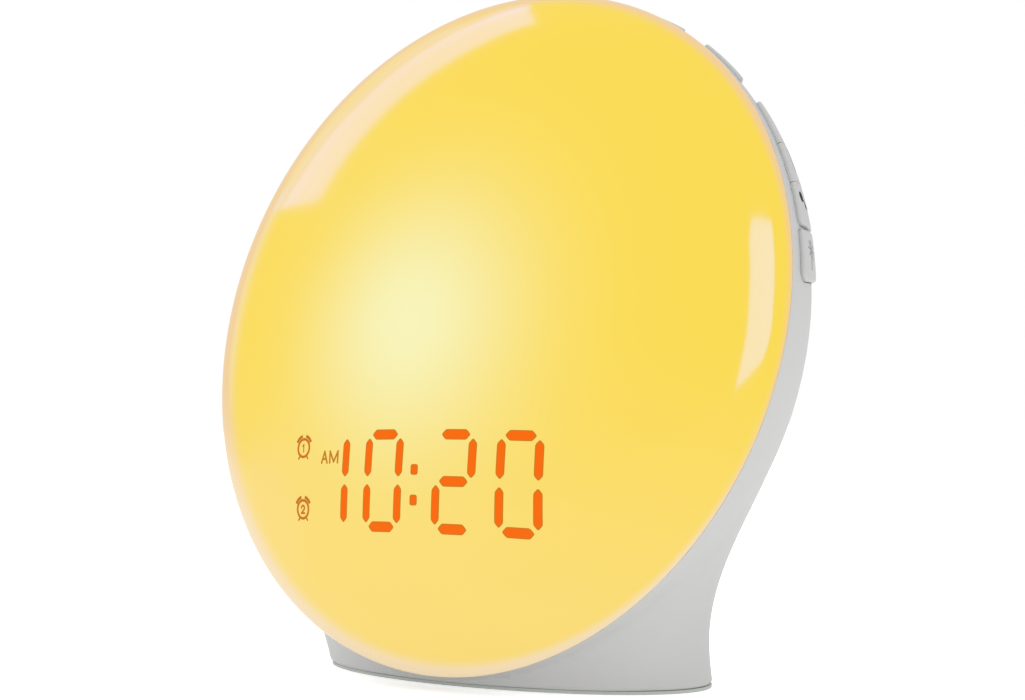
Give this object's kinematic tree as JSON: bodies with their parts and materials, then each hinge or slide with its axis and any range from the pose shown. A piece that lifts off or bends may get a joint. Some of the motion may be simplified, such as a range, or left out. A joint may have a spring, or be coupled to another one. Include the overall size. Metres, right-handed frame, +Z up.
{
  "type": "sunrise alarm clock",
  "caption": "Sunrise alarm clock: a round glowing lens leaning on a grey case with an oval foot, orange digits behind the lens, and push keys around the rim.",
  "frame": {"origin": "centre of the oval foot, on the table plane", "axes": "+Z up, -Y towards the lens and the viewer, +X to the viewer's right"},
  "size_m": [0.1704, 0.0886, 0.1677],
  "materials": {
    "lens_yellow": "gloss, lit from inside",
    "case_grey": "satin",
    "key_grey": "satin",
    "white_plastic": "matt",
    "digit_orange": "lit from inside",
    "lamp_white": "moulded",
    "board_white": "satin",
    "board_green": "satin",
    "black_plastic": "moulded",
    "capacitor_blue": "gloss sleeve",
    "ribbon_grey": "flexible",
    "zinc_steel": "plain",
    "ferrite_black": "ground",
    "cone_black": "pressed paper",
    "foam_black": "foam",
    "pad_grey": "matt",
    "wire_red": "satin sleeve",
    "wire_white": "satin sleeve",
    "wire_black": "satin sleeve"
  },
  "bodies": {
    "clock": {"front_lens": "lens_yellow", "rear_shell": "case_grey", "reflector": "white_plastic", "light_board": "board_white", "white_leds": "lamp_white", "colour_leds": "lamp_white", "light_board_screws": "zinc_steel", "light_header": "black_plastic", "display_board": "board_green", "display_housing": "white_plastic", "segment_guides": "digit_orange", "symbol_guides": "digit_orange", "display_leds": "lamp_white", "display_screws": "zinc_steel", "display_ribbon": "ribbon_grey", "main_board": "board_green", "board_chips": "black_plastic", "board_capacitors": "capacitor_blue", "board_sockets": "white_plastic", "main_board_screws": "zinc_steel", "key_board": "board_green", "key_switches": "black_plastic", "key_board_screws": "zinc_steel", "case_screws": "zinc_steel", "speaker_frame": "zinc_steel", "speaker_magnet": "ferrite_black", "speaker_cone": "cone_black", "speaker_gasket": "foam_black", "speaker_screws": "zinc_steel", "power_jack": "black_plastic", "power_jack_nut": "zinc_steel", "base_plate": "case_grey", "base_screws": "zinc_steel", "foot_pad": "pad_grey", "battery_holder": "black_plastic", "battery_contacts": "zinc_steel", "coin_cell": "zinc_steel", "battery_door": "case_grey", "battery_door_screw": "zinc_steel", "speaker_leads": "wire_red", "key_leads": "wire_white", "power_leads": "wire_black", "battery_leads": "wire_red"},
    "snooze_bar_body": {"snooze_bar": "key_grey"},
    "radio_key_body": {"radio_key": "key_grey"},
    "volume_up_key_body": {"volume_up_key": "key_grey"},
    "volume_down_key_body": {"volume_down_key": "key_grey"},
    "sound_key_body": {"sound_key": "key_grey"},
    "light_key_body": {"light_key": "key_grey"},
    "brightness_key_body": {"brightness_key": "key_grey"},
    "hour_key_body": {"hour_key": "key_grey"},
    "minute_key_body": {"minute_key": "key_grey"},
    "alarm_one_key_body": {"alarm_one_key": "key_grey"},
    "alarm_two_key_body": {"alarm_two_key": "key_grey"}
  },
  "joints": [
    {"name": "snooze_bar_press", "type": "slide", "parent": "clock", "child": "snooze_bar_body", "axis": [0, -0.2419, -0.9703], "range_m": [0, 0.0008], "stiffness_N_per_m": 1000, "springref_m": -0.001},
    {"name": "radio_key_press", "type": "slide", "parent": "clock", "child": "radio_key_body", "axis": [-0.6534, -0.1831, -0.7345], "range_m": [0, 0.0008], "stiffness_N_per_m": 1000, "springref_m": -0.001},
    {"name": "volume_up_key_press", "type": "slide", "parent": "clock", "child": "volume_up_key_body", "axis": [-0.8315, -0.1344, -0.539], "range_m": [0, 0.0008], "stiffness_N_per_m": 1000, "springref_m": -0.001},
    {"name": "volume_down_key_press", "type": "slide", "parent": "clock", "child": "volume_down_key_body", "axis": [-0.8969, -0.107, -0.4292], "range_m": [0, 0.0008], "stiffness_N_per_m": 1000, "springref_m": -0.001},
    {"name": "sound_key_press", "type": "slide", "parent": "clock", "child": "sound_key_body", "axis": [-0.9469, -0.0778, -0.3119], "range_m": [0, 0.0008], "stiffness_N_per_m": 1000, "springref_m": -0.001},
    {"name": "light_key_press", "type": "slide", "parent": "clock", "child": "light_key_body", "axis": [-0.9869, -0.0391, -0.1568], "range_m": [0, 0.0008], "stiffness_N_per_m": 1000, "springref_m": -0.001},
    {"name": "brightness_key_press", "type": "slide", "parent": "clock", "child": "brightness_key_body", "axis": [0.6534, -0.1831, -0.7345], "range_m": [0, 0.0008], "stiffness_N_per_m": 1000, "springref_m": -0.001},
    {"name": "hour_key_press", "type": "slide", "parent": "clock", "child": "hour_key_body", "axis": [0.8315, -0.1344, -0.539], "range_m": [0, 0.0008], "stiffness_N_per_m": 1000, "springref_m": -0.001},
    {"name": "minute_key_press", "type": "slide", "parent": "clock", "child": "minute_key_body", "axis": [0.8969, -0.107, -0.4292], "range_m": [0, 0.0008], "stiffness_N_per_m": 1000, "springref_m": -0.001},
    {"name": "alarm_one_key_press", "type": "slide", "parent": "clock", "child": "alarm_one_key_body", "axis": [0.9469, -0.0778, -0.3119], "range_m": [0, 0.0008], "stiffness_N_per_m": 1000, "springref_m": -0.001},
    {"name": "alarm_two_key_press", "type": "slide", "parent": "clock", "child": "alarm_two_key_body", "axis": [0.9869, -0.0391, -0.1568], "range_m": [0, 0.0008], "stiffness_N_per_m": 1000, "springref_m": -0.001}
  ]
}
